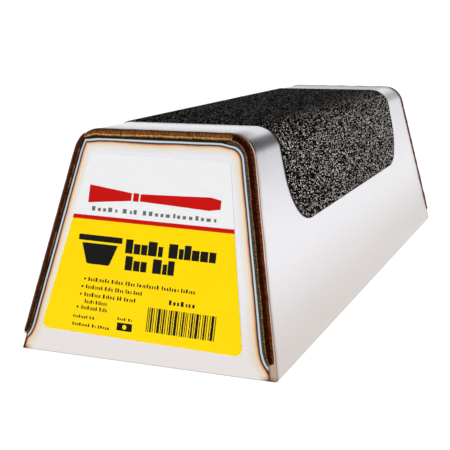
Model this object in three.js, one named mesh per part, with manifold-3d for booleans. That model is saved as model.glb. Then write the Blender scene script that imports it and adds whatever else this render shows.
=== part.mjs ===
// A drywall mud pan, stored upside down: the open rim lies on the ground plane and the pan's
// flat bottom is on top. One bent stainless sheet makes the two long sides and the bottom, a
// flat plate closes each end, six weld runs join them, an anti-slip pad wraps the bottom, and
// a label is stuck on one end. +X runs along the pan and +Z from its rim to its bottom, in mm.
import * as THREE from 'three';
import Module from 'manifold-3d';

const wasm = await Module();
wasm.setup();

// Driving dimensions of the pan, over the outside of the metal
const RIM_LENGTH = 304.8;
const RIM_WIDTH = 106;
const BASE_LENGTH = 257;
const BASE_WIDTH = 71;
const HEIGHT = 85;
const SHEET = 0.8;
const BEND_RADIUS = 10.5;
const CORNER_RADIUS = 2;

// The seam between an end plate and the lip of the body, which sits nearer the +Y side
const SEAM_INSET = 1.6;
const SEAM_SHIFT = 0.85;
const SEAM_GAP = 0.3;

// The weld runs: an oval bar along the seam, wider on the -Y side, with rounded tips
const WELD_HALF_WIDTH = 1.75;
const WELD_WIDENING = 0.25;
const WELD_HALF_HEIGHT = 1.05;
const WELD_SEAT_GAP = 0.25;
const WELD_RIM_GAP = 4.8;
const WELD_RUN_GAP = 0.35;
const WELD_TAPER = 2.4;
const WELD_TIP = [{ along: 0.02, scale: 0.25 }, { along: 0.3, scale: 0.72 }, { along: 0.8, scale: 0.97 }];

// The anti-slip pad, measured flat before it is wrapped over the bottom and down the sides
const PAD_START = -102;
const PAD_END = 94;
const PAD_HALF_WIDTH = 73.5;
const PAD_CORNER = 22;
const PAD_FILM_BASE = 0.06;
const PAD_FILM_TOP = 0.26;
const PAD_GRIT_BASE = 0.3;
const PAD_GRIT_TOP = 0.7;

// The label, measured up the slope of the end plate
const LABEL_BOTTOM = 8.2;
const LABEL_TOP = 78;
const LABEL_BOTTOM_WIDTH = 84.6;
const LABEL_TOP_WIDTH = 58.4;
const LABEL_CORNER = 2.6;
const LABEL_OFFSET = 2.5;
const LABEL_TURN = THREE.MathUtils.degToRad(-1.25);
const LABEL_BASE = 0.05;
const LABEL_FACE = 0.17;

// How finely the curves are divided
const BEND_STEPS = 10;
const CORNER_STEPS = 4;
const WELD_SIDES = 12;
const PAD_CORNER_STEPS = 7;
const LABEL_CORNER_STEPS = 5;

// How far the cutting shapes run past what they cut
const CUT_BELOW = -6;
const CUT_BEYOND = 3;

// Slopes and flats that follow from the dimensions
const SIDE_SLOPE = (RIM_WIDTH - BASE_WIDTH) / 2 / HEIGHT;
const END_SLOPE = (RIM_LENGTH - BASE_LENGTH) / 2 / HEIGHT;
const SIDE_ANGLE = Math.atan(SIDE_SLOPE);
const END_ANGLE = Math.atan(END_SLOPE);
const BEND_TURN = Math.PI / 2 - SIDE_ANGLE;
const BEND_CENTRE = HEIGHT - BEND_RADIUS;
const FLAT_HALF = BASE_WIDTH / 2 - BEND_RADIUS * Math.tan(BEND_TURN / 2);
const SHEET_ALONG_X = SHEET / Math.cos(END_ANGLE);

// Half the pan's length at a height, at the outer face of the end plates
function endX(z) {
  return RIM_LENGTH / 2 - END_SLOPE * z;
}

// A cross-section of the pan as a path of (y, z) points, pulled in from the outside of the
// metal by inset and cut off at a height of floor. It runs from the +Y rim over the bottom to
// the -Y rim, which is anticlockwise seen from +X.
function sectionPath(inset, floor = 0, shift = 0) {
  const radius = BEND_RADIUS - inset;
  const half = RIM_WIDTH / 2 - inset / Math.cos(SIDE_ANGLE) - SIDE_SLOPE * floor;
  const path = new THREE.Path();
  path.moveTo(shift + half, floor);
  path.lineTo(shift + FLAT_HALF + radius * Math.cos(SIDE_ANGLE), BEND_CENTRE + radius * Math.sin(SIDE_ANGLE));
  path.absarc(shift + FLAT_HALF, BEND_CENTRE, radius, SIDE_ANGLE, Math.PI / 2);
  path.absarc(shift - FLAT_HALF, BEND_CENTRE, radius, Math.PI / 2, Math.PI - SIDE_ANGLE);
  path.lineTo(shift - half, floor);
  return path;
}

function section(inset, floor, shift) {
  return sectionPath(inset, floor, shift).getPoints(BEND_STEPS / 2);
}

// Triangles that fill one flat ring of points, turning the way the ring turns
function capTriangles(ring) {
  const normal = new THREE.Vector3();
  ring.forEach((point, i) => {
    const next = ring[(i + 1) % ring.length];
    normal.add(point.clone().sub(ring[0]).cross(next.clone().sub(ring[0])));
  });
  normal.normalize();
  const across = ring[1].clone().sub(ring[0]).normalize();
  const up = normal.clone().cross(across);
  const flat = ring.map((point) => {
    const arm = point.clone().sub(ring[0]);
    return new THREE.Vector2(arm.dot(across), arm.dot(up));
  });
  return THREE.ShapeUtils.triangulateShape(flat, []);
}

// A closed solid through flat rings of equally many points. The rings follow each other along
// the axis that their points turn about by the right-hand rule, so the faces point outwards.
function loft(rings) {
  const size = rings[0].length;
  const last = (rings.length - 1) * size;
  const index = [];
  for (let ring = 0; ring < last; ring += size) {
    for (let i = 0; i < size; i += 1) {
      const here = ring + i;
      const next = ring + (i + 1) % size;
      index.push(here, next, next + size, here, next + size, here + size);
    }
  }
  for (const [a, b, c] of capTriangles(rings[0])) {
    index.push(c, b, a);
  }
  for (const [a, b, c] of capTriangles(rings[rings.length - 1])) {
    index.push(last + a, last + b, last + c);
  }
  const positions = rings.flat().flatMap((point) => point.toArray());
  const geometry = new THREE.BufferGeometry();
  geometry.setAttribute('position', new THREE.Float32BufferAttribute(positions, 3));
  geometry.setIndex(index);
  return geometry;
}

// A cross-section carried between two slanted ends, each given as a function of height
function slab(points, lowX, highX) {
  const ring = (edge) => points.map((point) => new THREE.Vector3(edge(point.y), point.x, point.y));
  return loft([ring(lowX), ring(highX)]);
}

function toSolid(geometry) {
  return new wasm.Manifold(new wasm.Mesh({
    numProp: 3,
    vertProperties: new Float32Array(geometry.attributes.position.array),
    triVerts: new Uint32Array(geometry.index.array),
  }));
}

function subtract(geometry, tools) {
  let solid = toSolid(geometry);
  for (const tool of tools) {
    solid = solid.subtract(toSolid(tool));
  }
  const mesh = solid.getMesh();
  const result = new THREE.BufferGeometry();
  result.setAttribute('position', new THREE.BufferAttribute(new Float32Array(mesh.vertProperties), 3));
  result.setIndex(new THREE.BufferAttribute(new Uint32Array(mesh.triVerts), 1));
  return result;
}

// A pan-shaped block whose upright end corners are turned round at radius: each end starts on
// the flat of the end wall, with the section pulled in by the radius.
function roundedBlock(inset, endInset, radius, floor) {
  const ring = (side, turn) => {
    const depth = endInset + radius * (1 - Math.cos(turn));
    const points = section(inset + radius * (1 - Math.sin(turn)), floor);
    return points.map((point) => new THREE.Vector3(side * (endX(point.y) - depth), point.x, point.y));
  };
  const turns = Array.from({ length: CORNER_STEPS + 1 }, (_, i) => i / CORNER_STEPS * Math.PI / 2);
  const near = turns.map((turn) => ring(-1, turn));
  const far = turns.map((turn) => ring(1, turn)).reverse();
  return loft([...near, ...far]);
}

// A stretch of one end wall inside the seam, between two depths in from its outer face
function endSlab(side, inset, floor, outerDepth, innerDepth) {
  const points = section(inset, floor, SEAM_SHIFT);
  const outer = (z) => side * (endX(z) - outerDepth);
  const inner = (z) => side * (endX(z) - innerDepth);
  return side < 0 ? slab(points, outer, inner) : slab(points, inner, outer);
}

// The line of the seam, which the weld runs follow. It is a slanted side, a bend, the bottom, a
// bend and the other side. A run stops in the middle of the +Y bend or before the -Y bend.
const seamPath = sectionPath(SEAM_INSET, 0, SEAM_SHIFT);
const [sideEnd, bendEnd, bottomEnd, farBendEnd, seamEnd] = seamPath.getCurveLengths();
const rimGap = WELD_RIM_GAP / Math.cos(SIDE_ANGLE);
const leftMitre = (sideEnd + bendEnd) / 2;
const WELD_RUNS = {
  left: [rimGap, leftMitre - WELD_RUN_GAP],
  bottom: [leftMitre + WELD_RUN_GAP, bottomEnd - WELD_RUN_GAP],
  right: [bottomEnd + WELD_RUN_GAP, seamEnd - rimGap],
};

// The stations of one run: three at each rounded tip and one at each step of a bend
function weldStations(start, stop) {
  const tips = WELD_TIP.map(({ along, scale }) => ({ distance: start + along * WELD_TAPER, scale }));
  const tails = WELD_TIP.map(({ along, scale }) => ({ distance: stop - along * WELD_TAPER, scale })).reverse();
  const bends = [];
  for (const [from, to] of [[sideEnd, bendEnd], [bottomEnd, farBendEnd]]) {
    for (let i = 0; i <= BEND_STEPS; i += 1) {
      bends.push({ distance: from + (to - from) * i / BEND_STEPS, scale: 1 });
    }
  }
  const inside = bends.filter(({ distance }) => distance > start + WELD_TAPER && distance < stop - WELD_TAPER);
  return [...tips, ...inside, ...tails];
}

// One run of weld metal on the end at side, an oval bar sunk through the sheet and crowned a
// millimetre proud of it. extra fattens it into the tool that cuts its seat.
function weldBar(side, run, extra = 0) {
  const [start, stop] = WELD_RUNS[run];
  const onEnd = ({ x: y, y: z }) => new THREE.Vector3(side * endX(z), y, z);
  const outward = new THREE.Vector3(side * Math.cos(END_ANGLE), 0, Math.sin(END_ANGLE));
  const rings = weldStations(start - extra, stop + extra).map(({ distance, scale }) => {
    const share = distance / seamEnd;
    const centre = onEnd(seamPath.getPoint(share));
    const along = onEnd(seamPath.getPoint(share + 0.001)).sub(onEnd(seamPath.getPoint(share - 0.001)));
    const lateral = outward.clone().cross(along).normalize();
    const widening = WELD_WIDENING * THREE.MathUtils.clamp(-centre.y / FLAT_HALF, -1, 1);
    const halfWidth = (WELD_HALF_WIDTH + widening) * scale + extra;
    const halfHeight = WELD_HALF_HEIGHT * scale + extra;
    return Array.from({ length: WELD_SIDES }, (_, i) => {
      const turn = i / WELD_SIDES * Math.PI * 2;
      const point = centre.clone().addScaledVector(lateral, halfWidth * Math.cos(turn));
      return point.addScaledVector(outward, halfHeight * Math.sin(turn));
    });
  });
  return loft(rings);
}

// A point of the skin, offset outwards, at a distance over the sheet from the centre line of the
// bottom: negative towards +Y and positive towards -Y.
function wrap(x, distance, offset) {
  const side = distance < 0 ? 1 : -1;
  const past = Math.abs(distance) - FLAT_HALF;
  const turn = THREE.MathUtils.clamp(past / BEND_RADIUS, 0, BEND_TURN);
  const downSide = Math.max(past - BEND_RADIUS * BEND_TURN, 0);
  const reach = BEND_RADIUS + offset;
  const y = FLAT_HALF + Math.min(past, 0) + reach * Math.sin(turn) + downSide * Math.sin(SIDE_ANGLE);
  const z = BEND_CENTRE + reach * Math.cos(turn) - downSide * Math.cos(SIDE_ANGLE);
  return new THREE.Vector3(x, side * y, z);
}

// One layer of the pad, as a strip of four-sided rings from its +Y edge to its -Y edge
function padLayer(base, top) {
  const corners = Array.from({ length: PAD_CORNER_STEPS + 1 }, (_, i) => {
    const turn = (1 - i / PAD_CORNER_STEPS) * Math.PI / 2;
    const distance = PAD_HALF_WIDTH - PAD_CORNER * (1 - Math.sin(turn));
    return { distance, trim: PAD_CORNER * (1 - Math.cos(turn)) };
  });
  const bend = Array.from({ length: BEND_STEPS + 1 }, (_, i) => {
    return { distance: FLAT_HALF + BEND_RADIUS * BEND_TURN * (1 - i / BEND_STEPS), trim: 0 };
  });
  const half = [...corners, ...bend];
  const otherHalf = [...half].reverse();
  const stops = [...half.map(({ distance, trim }) => ({ distance: -distance, trim })), ...otherHalf];
  return loft(stops.map(({ distance, trim }) => [
    wrap(PAD_START + trim, distance, base),
    wrap(PAD_END - trim, distance, base),
    wrap(PAD_END - trim, distance, top),
    wrap(PAD_START + trim, distance, top),
  ]));
}

// A polygon with its corners rounded, as a list of points in the same order
function roundedPolygon(corners, radius, steps) {
  return corners.flatMap((corner, i) => {
    const before = corners[(i + corners.length - 1) % corners.length];
    const after = corners[(i + 1) % corners.length];
    const back = before.clone().sub(corner).normalize();
    const ahead = after.clone().sub(corner).normalize();
    const halfAngle = Math.acos(back.dot(ahead)) / 2;
    const inward = back.clone().add(ahead).normalize();
    const centre = corner.clone().addScaledVector(inward, radius / Math.sin(halfAngle));
    const first = corner.clone().addScaledVector(back, radius / Math.tan(halfAngle)).sub(centre);
    const sweep = Math.PI - 2 * halfAngle;
    return Array.from({ length: steps + 1 }, (_, step) => {
      return first.clone().rotateAround(new THREE.Vector2(), sweep * step / steps).add(centre);
    });
  });
}

// The label on the near end, seen from outside with the rim down: right is -Y and up is the
// slope of the plate.
function label() {
  const middle = (LABEL_BOTTOM + LABEL_TOP) / 2;
  const corners = [
    new THREE.Vector2(-LABEL_BOTTOM_WIDTH / 2, LABEL_BOTTOM),
    new THREE.Vector2(LABEL_BOTTOM_WIDTH / 2, LABEL_BOTTOM),
    new THREE.Vector2(LABEL_TOP_WIDTH / 2, LABEL_TOP),
    new THREE.Vector2(-LABEL_TOP_WIDTH / 2, LABEL_TOP),
  ];
  corners.forEach((corner) => {
    corner.rotateAround(new THREE.Vector2(0, middle), LABEL_TURN);
    corner.x -= LABEL_OFFSET;
  });
  const points = roundedPolygon(corners, LABEL_CORNER, LABEL_CORNER_STEPS);
  const slope = new THREE.Vector3(Math.sin(END_ANGLE), 0, Math.cos(END_ANGLE));
  const outward = new THREE.Vector3(-Math.cos(END_ANGLE), 0, Math.sin(END_ANGLE));
  return loft([LABEL_BASE, LABEL_FACE].map((height) => points.map((point) => {
    const foot = new THREE.Vector3(-RIM_LENGTH / 2, -point.x, 0);
    return foot.addScaledVector(slope, point.y).addScaledVector(outward, height);
  })));
}

// Everything that belongs to the two ends: near is the labelled end at -X
const ENDS = { near: -1, far: 1 };
const seats = {};
for (const [end, side] of Object.entries(ENDS)) {
  seats[end] = Object.keys(WELD_RUNS).map((run) => weldBar(side, run, WELD_SEAT_GAP));
}

// The body: a bent sheet that turns a short lip round onto each end, where the seam stops it
function bodySheet() {
  const hollow = roundedBlock(SHEET, SHEET_ALONG_X, CORNER_RADIUS - SHEET, CUT_BELOW);
  const openings = Object.values(ENDS).map((side) => {
    return endSlab(side, SEAM_INSET, CUT_BELOW, -CUT_BEYOND, SHEET_ALONG_X * 1.2);
  });
  const block = roundedBlock(0, 0, CORNER_RADIUS, 0);
  return subtract(block, [hollow, ...openings, ...seats.near, ...seats.far]);
}

function endPlate(end) {
  const plate = endSlab(ENDS[end], SEAM_INSET + SEAM_GAP, 0, 0, SHEET_ALONG_X);
  return subtract(plate, seats[end]);
}

// Finishes
const steel = { color: 0xd3d2d6, roughness: 0.28, metalness: 1 };
const weldMetal = { color: 0x6b4329, roughness: 0.38, metalness: 1 };
const film = { color: 0x141312, roughness: 0.6, metalness: 0 };
const grit = { color: 0x2a2725, roughness: 0.95, metalness: 0 };
const print = { color: 0xf4d60c, roughness: 0.35, metalness: 0 };

const pan = new THREE.Group();

function add(name, geometry, finish) {
  const mesh = new THREE.Mesh(geometry, new THREE.MeshStandardMaterial(finish));
  mesh.name = name;
  pan.add(mesh);
}

add('body_sheet', bodySheet(), steel);
for (const [end, side] of Object.entries(ENDS)) {
  add(`${end}_end_plate`, endPlate(end), steel);
  for (const run of Object.keys(WELD_RUNS)) {
    add(`${end}_weld_${run}`, weldBar(side, run), weldMetal);
  }
}
add('grip_film', padLayer(PAD_FILM_BASE, PAD_FILM_TOP), film);
add('grip_grit', padLayer(PAD_GRIT_BASE, PAD_GRIT_TOP), grit);
add('end_label', label(), print);

export default pan;
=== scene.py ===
"""A drywall mud pan standing on its open rim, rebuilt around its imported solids, in metres.

The pan is bent from stainless sheet, closed by two welded end plates, wrapped by an anti-slip
pad and labelled on one end. Sizes below are in millimetres; MM turns them into metres.
"""

import math

import bmesh
import bpy
import numpy as np
from mathutils import Matrix, Vector, noise


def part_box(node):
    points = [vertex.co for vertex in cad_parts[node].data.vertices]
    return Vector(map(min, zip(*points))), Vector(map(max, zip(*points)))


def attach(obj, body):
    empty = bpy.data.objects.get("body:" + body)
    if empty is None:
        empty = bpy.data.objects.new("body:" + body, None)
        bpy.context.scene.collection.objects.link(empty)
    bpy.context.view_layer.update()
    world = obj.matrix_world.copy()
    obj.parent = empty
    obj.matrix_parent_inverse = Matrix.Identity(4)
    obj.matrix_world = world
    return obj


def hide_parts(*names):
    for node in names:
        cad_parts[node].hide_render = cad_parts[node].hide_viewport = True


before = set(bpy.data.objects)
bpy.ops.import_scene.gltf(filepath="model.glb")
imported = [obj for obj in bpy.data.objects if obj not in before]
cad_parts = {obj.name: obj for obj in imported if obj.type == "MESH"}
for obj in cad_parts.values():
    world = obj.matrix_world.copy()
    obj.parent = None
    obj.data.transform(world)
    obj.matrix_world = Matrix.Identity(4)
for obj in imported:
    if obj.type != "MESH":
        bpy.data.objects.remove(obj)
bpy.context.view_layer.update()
MM = 0.001


# Body sheet: one stainless sheet bent into the two long sides and the flat bottom. A short lip
# of it turns round onto each end, where the weld joins it to the end plate.
sheet_low, sheet_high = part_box("body_sheet")
RIM_LENGTH = (sheet_high.x - sheet_low.x) / MM
RIM_WIDTH = (sheet_high.y - sheet_low.y) / MM
HEIGHT = sheet_high.z / MM
BASE_LENGTH = 257
BASE_WIDTH = 71
SHEET = 0.8
BEND_RADIUS = 10.5
LIP_RADIUS = 1.0
SEAM_INSET = 1.6
SEAM_SHIFT = 0.85
SEAM_GAP = 0.24

END_SLOPE = (RIM_LENGTH - BASE_LENGTH) / 2 / HEIGHT
SIDE_SLOPE = (RIM_WIDTH - BASE_WIDTH) / 2 / HEIGHT
END_ANGLE = math.atan(END_SLOPE)
SIDE_ANGLE = math.atan(SIDE_SLOPE)
BEND_TURN = math.pi / 2 - SIDE_ANGLE
BEND_CENTRE = HEIGHT - BEND_RADIUS
FLAT_HALF = BASE_WIDTH / 2 - BEND_RADIUS * math.tan(BEND_TURN / 2)
SHEET_ALONG_X = SHEET / math.cos(END_ANGLE)

SIDE_ROWS = 40
BEND_ROWS = 28
FLAT_ROWS = 20


def section_stations():
    """Where a cross-section is measured, from the +Y rim over the bottom to the -Y rim."""
    drop = np.linspace(1, 0, SIDE_ROWS + 1)
    side_turn = np.full(SIDE_ROWS, SIDE_ANGLE)
    bend = np.linspace(SIDE_ANGLE, math.pi / 2, BEND_ROWS + 1)
    flat = np.linspace(FLAT_HALF, -FLAT_HALF, FLAT_ROWS + 1)[1:-1]
    half_turn = np.concatenate([side_turn, bend])
    turn = np.concatenate([half_turn, np.full(len(flat), math.pi / 2), math.pi - half_turn[::-1]])
    half_drop = np.concatenate([drop[:-1], np.zeros(BEND_ROWS + 1)])
    drops = np.concatenate([half_drop, np.zeros(len(flat)), half_drop[::-1]])
    half_centre = np.full(len(half_turn), FLAT_HALF)
    centre = np.concatenate([half_centre, flat, -half_centre])
    return turn, drops, centre


TURN, DROP, CENTRE = section_stations()
HALF_ROWS = SIDE_ROWS + BEND_ROWS + 1
SEAM_EDGE = SEAM_INSET - SEAM_SHIFT * np.cos(TURN)


def section(inset, shift=0.0):
    """The (y, z) of every station, pulled in from the outside of the metal by inset."""
    radius = BEND_RADIUS - inset
    top = BEND_CENTRE + radius * np.sin(TURN)
    y = shift + CENTRE + radius * np.cos(TURN) + np.sign(np.cos(TURN)) * top * DROP * SIDE_SLOPE
    return y, top * (1 - DROP)


def end_x(z):
    """Half the pan's length at a height, at the outer face of the end plates."""
    return RIM_LENGTH / 2 - END_SLOPE * z


def column(side, depth, inset):
    """One line of points across the body sheet, at a depth in from the end at side."""
    y, z = section(inset)
    return np.stack([side * (end_x(z) - depth), y, z], axis=1)


def grid_faces(rows, columns, start=0, flip=False):
    """Quads of a rows x columns grid of points stored row by row."""
    first = start + np.arange(rows - 1)[:, None] * columns + np.arange(columns - 1)[None, :]
    first = first.ravel()
    quads = np.stack([first, first + 1, first + columns + 1, first + columns], axis=1)
    return quads[:, ::-1] if flip else quads


def closed_grid(outer, inner):
    """A closed sheet from two grids of points of the same shape (rows, columns, 3)."""
    rows, columns = outer.shape[:2]
    count = rows * columns
    faces = [grid_faces(rows, columns), grid_faces(rows, columns, count, flip=True)]
    rim = list(range(columns)) + [r * columns + columns - 1 for r in range(1, rows)]
    rim += [(rows - 1) * columns + c for c in range(columns - 2, -1, -1)]
    rim += [r * columns for r in range(rows - 2, 0, -1)]
    edge = [(b, a, a + count, b + count) for a, b in zip(rim, rim[1:] + rim[:1])]
    points = np.concatenate([outer.reshape(-1, 3), inner.reshape(-1, 3)])
    return points, np.concatenate([*faces, np.array(edge)])


def new_object(name, data):
    """An object in the scene, at the origin."""
    item = bpy.data.objects.new(name, data)
    bpy.context.collection.objects.link(item)
    return item


def new_piece(name, points, faces, material, sharp_degrees=35):
    """A smooth-shaded mesh object from points in millimetres, with its faces turned outwards."""
    mesh = bpy.data.meshes.new(name)
    mesh.from_pydata((np.asarray(points) * MM).tolist(), [], [list(map(int, face)) for face in faces])
    shape = bmesh.new()
    shape.from_mesh(mesh)
    bmesh.ops.recalc_face_normals(shape, faces=shape.faces)
    shape.to_mesh(mesh)
    shape.free()
    mesh.shade_smooth()
    mesh.set_sharp_from_angle(angle=math.radians(sharp_degrees))
    mesh.materials.append(material)
    return new_object(name, mesh)


# The weld line: the middle of each bead on an end plate, with the bead's half width there. A
# bead keeps its outer edge where its width changes towards a tip, and stops short of the rim.
# Its start and stop give the share of the width at the tip, and the length of the change.
# Shift moves a bead inwards, and climb moves it further in where the seam runs over the
# bottom. Tilt turns its section, in degrees, slant leans its ripples, soot takes its colour
# from bronze to near black, and turned moves those colours across it. On the plain end the
# right bead stands FAR_RIGHT_PROUD further out.
RIM_GAP_LEFT = 5.6
RIM_GAP_RIGHT = 4.9
WELD_OVERLAP = 0.9
CRATER_OVERLAP = 3.2
FAR_RIGHT_PROUD = 0.7
BEAD_TAPER = 2.6
BEAD_POINTS = 240
SEAM_STEP = 0.5
SEAM_START_OFFSET = -1.15
BEADS = {
    "left": {
        "shift": -0.65, "climb": 0.0, "half_width": 1.5, "half_height": 0.98, "tilt": 24,
        "soot": 0.9, "slant": 1.1, "turned": 0.72,
        "start": (0.7, 5.0), "stop": (0.36, 6.3),
    },
    "bottom": {
        "shift": 0.1, "climb": 0.0, "half_width": 1.9, "half_height": 1.02, "tilt": 4,
        "soot": 0.0, "slant": 0.0, "turned": 0.0,
        "start": (0.45, 6.3), "stop": (1.0, 5.0),
    },
    "right": {
        "shift": -0.35, "climb": 0.75, "half_width": 2.0, "half_height": 0.92, "tilt": 0,
        "soot": 1.0, "slant": 0.0, "turned": 0.0,
        "start": (1.12, 17.0), "stop": (0.55, 6.5),
    },
}


def path_lengths(line):
    """The distance of each point of a line along it."""
    return np.concatenate([[0], np.cumsum(np.linalg.norm(np.diff(line, axis=0), axis=1))])


def seam_line(side, shift=0.0):
    """The seam on one end as points from the +Y rim to the -Y rim, moved inwards by shift."""
    y, z = section(SEAM_INSET + shift, SEAM_SHIFT)
    return np.stack([side * end_x(z), y, z], axis=1)


def bead_line(side, run):
    """The middle of one bead, and its half width at each point."""
    bead = BEADS[run]
    lengths = path_lengths(seam_line(side))
    left_mitre = (lengths[SIDE_ROWS] + lengths[HALF_ROWS - 1]) / 2
    bottom_end = lengths[-HALF_ROWS]
    start, stop = {
        "left": (RIM_GAP_LEFT / math.cos(SIDE_ANGLE), left_mitre + WELD_OVERLAP),
        "bottom": (left_mitre - WELD_OVERLAP, bottom_end + CRATER_OVERLAP),
        "right": (bottom_end - WELD_OVERLAP, lengths[-1] - RIM_GAP_RIGHT / math.cos(SIDE_ANGLE)),
    }[run]
    width = np.full(len(lengths), bead["half_width"])
    for gap, (share, reach) in ((lengths - start, bead["start"]), (stop - lengths, bead["stop"])):
        left_over = 1 - np.clip(gap / reach, 0, 1)
        width = width * (1 + (share - 1) * left_over ** 2)
    climb = bead["climb"] * (1 - np.abs(np.cos(TURN)))
    proud = FAR_RIGHT_PROUD * np.abs(np.cos(TURN)) if side > 0 and run == "right" else 0.0
    line = seam_line(side, bead["shift"] + climb - proud - (bead["half_width"] - width))
    along = np.linspace(start, stop, BEAD_POINTS)
    points = np.stack([np.interp(along, lengths, line[:, k]) for k in range(3)], axis=1)
    return points, np.interp(along, lengths, width)


def weld_samples():
    """Points along every weld and open seam, each with the half width that it heats from."""
    points, widths = [], []
    for side in (-1, 1):
        seam = seam_line(side)
        lengths = path_lengths(seam)
        along = np.arange(0, lengths[-1], SEAM_STEP)
        points.append(np.stack([np.interp(along, lengths, seam[:, k]) for k in range(3)], axis=1))
        widths.append(np.full(len(along), SEAM_START_OFFSET))
        for run in BEADS:
            line, width = bead_line(side, run)
            along = path_lengths(line)
            short = 1 - np.clip(np.minimum(along, along[-1] - along) / BEAD_TAPER, 0, 1)
            points.append(line)
            widths.append(width * np.sqrt(1 - short ** 2))
    return np.concatenate(points), np.concatenate(widths)


WELD_POINTS, WELD_WIDTHS = weld_samples()
HEAT_LIMIT = 30.0
POINTS_AT_ONCE = 2000


def weld_distance(points):
    """The distance in millimetres from each point to the edge of the nearest bead."""
    result = np.full(len(points), HEAT_LIMIT)
    near = np.abs(points[:, 0]) > end_x(points[:, 2]) - HEAT_LIMIT
    chosen = np.flatnonzero(near)
    for part in np.array_split(chosen, max(1, len(chosen) // POINTS_AT_ONCE)):
        gaps = np.linalg.norm(points[part, None, :] - WELD_POINTS[None], axis=2) - WELD_WIDTHS[None]
        result[part] = np.minimum(gaps.min(axis=1), HEAT_LIMIT)
    return result


BURN_REACH = 2.4
BURN_HEIGHT = 0.7


def store_value(piece, name, values):
    """Keeps one number for each vertex of a piece under a name that materials read."""
    attribute = piece.data.attributes.new(name, "FLOAT", "POINT")
    attribute.data.foreach_set("value", np.asarray(values, np.float32))


def piece_points(piece):
    """A piece's vertices in millimetres."""
    points = np.empty(len(piece.data.vertices) * 3)
    piece.data.vertices.foreach_get("co", points)
    return points.reshape(-1, 3) / MM


def burn_and_painted_shade(points):
    """How black the burn leaves the metal, from 0 to 1: only at the rim, beside the open seam."""
    seams = np.concatenate([seam_line(-1)[[0, -1]], seam_line(1)[[0, -1]]])
    gaps = np.linalg.norm(points[:, None, :2] - seams[None, :, :2], axis=2).min(axis=1)
    return np.exp(-((gaps / BURN_REACH) ** 2)) * np.exp(-((points[:, 2] / BURN_HEIGHT) ** 2))


def linear(red, green, blue):
    """An 8-bit screen colour as the linear colour that a material takes."""
    steps = [c / 255 for c in (red, green, blue)]
    return tuple(c / 12.92 if c <= 0.04045 else ((c + 0.055) / 1.055) ** 2.4 for c in steps) + (1,)


def add_node(tree, kind, inputs=None, **settings):
    """A node of one kind, with its settings and its inputs' values or links."""
    node = tree.nodes.new(kind)
    for name, value in settings.items():
        setattr(node, name, value)
    for name, value in (inputs or {}).items():
        socket = node.inputs[name]
        if isinstance(value, bpy.types.NodeSocket):
            tree.links.new(value, socket)
        else:
            socket.default_value = value
    return node


def maths(tree, operation, first, second=0.0, third=0.0):
    """The result of a Math node on values or sockets."""
    return add_node(tree, "ShaderNodeMath", {0: first, 1: second, 2: third}, operation=operation).outputs[0]


def vector_maths(tree, operation, first, second):
    """The resulting vector of a Vector Math node on two vectors."""
    return add_node(tree, "ShaderNodeVectorMath", {0: first, 1: second}, operation=operation).outputs[0]


def scaled(tree, vector, factor):
    """A vector or a colour multiplied by a factor."""
    return add_node(tree, "ShaderNodeVectorMath", {0: vector, "Scale": factor}, operation="SCALE").outputs[0]


def object_coordinates(tree):
    """Each point's place on the pan, in metres."""
    return tree.nodes.new("ShaderNodeTexCoord").outputs["Object"]


def attribute_value(tree, name):
    """The value that a piece keeps under a name, such as its distance from the weld."""
    return add_node(tree, "ShaderNodeAttribute", attribute_name=name).outputs["Fac"]


def noise_value(tree, scale, detail=2.0, vector=None, roughness=0.5):
    """Noise from 0 to 1, with scale in lumps a metre."""
    vector = vector or object_coordinates(tree)
    inputs = {"Vector": vector, "Scale": scale, "Detail": detail, "Roughness": roughness}
    return add_node(tree, "ShaderNodeTexNoise", inputs).outputs["Fac"]


def mix_colour(tree, factor, first, second, blend="MIX"):
    """Two colours mixed by a factor; each may be a value or a socket."""
    node = add_node(tree, "ShaderNodeMix", data_type="RGBA", blend_type=blend)
    slots = [socket for socket in node.inputs if socket.enabled]
    for socket, value in zip(slots, (factor, first, second)):
        if isinstance(value, bpy.types.NodeSocket):
            tree.links.new(value, socket)
        else:
            socket.default_value = value
    return [socket for socket in node.outputs if socket.enabled][0]


def colour_ramp(tree, factor, stops):
    """A Color Ramp over (position, colour) stops."""
    node = add_node(tree, "ShaderNodeValToRGB", {"Fac": factor})
    ramp = node.color_ramp
    while len(ramp.elements) < len(stops):
        ramp.elements.new(1.0)
    for element, (position, colour) in zip(ramp.elements, stops):
        element.position = position
        element.color = colour
    return node.outputs["Color"]


def new_group(name, inputs, outputs):
    """An empty shader node group with named sockets, and its input and output nodes."""
    group = bpy.data.node_groups.new(name, "ShaderNodeTree")
    for socket, kind, value in inputs:
        item = group.interface.new_socket(name=socket, in_out="INPUT", socket_type=kind)
        if value is not None:
            item.default_value = value
    for socket, kind in outputs:
        group.interface.new_socket(name=socket, in_out="OUTPUT", socket_type=kind)
    return group, group.nodes.new("NodeGroupInput"), group.nodes.new("NodeGroupOutput")


def new_material(name):
    """A new material with its node tree and its Principled shader."""
    material = bpy.data.materials.new(name)
    material.use_nodes = True
    return material, material.node_tree, material.node_tree.nodes["Principled BSDF"]


def roughen(tree, shader, height, strength, depth):
    """Bumps a surface by a height, which stands for a depth in metres."""
    bump = add_node(tree, "ShaderNodeBump", {"Strength": strength, "Distance": depth, "Height": height})
    tree.links.new(bump.outputs["Normal"], shader.inputs["Normal"])


# Sheet finish: bright satin stainless, painted darker and warmer towards the rim as a painted
# shade for the floor's dimmer reflection there, dark on the sheared edge with a painted contact
# shadow along it, and coloured by the heat of the weld. Colours over distances from the bead come
# with each piece.
STEEL = linear(242, 241, 246)
SIDE_PAINTED_RIM_SHADE = linear(215, 209, 201)
END_PAINTED_RIM_SHADE = linear(244, 239, 231)
PAINTED_RIM_SHADE_TOP = 46.0
CUT_EDGE_AND_SHADOW = linear(128, 112, 100)
CUT_EDGE_SHADOW_HEIGHT = 0.35
BURNT_AND_PAINTED_SHADE = linear(24, 12, 8)
HEAT_REACH = 6.0
HEAT_WANDER = 0.6


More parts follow.
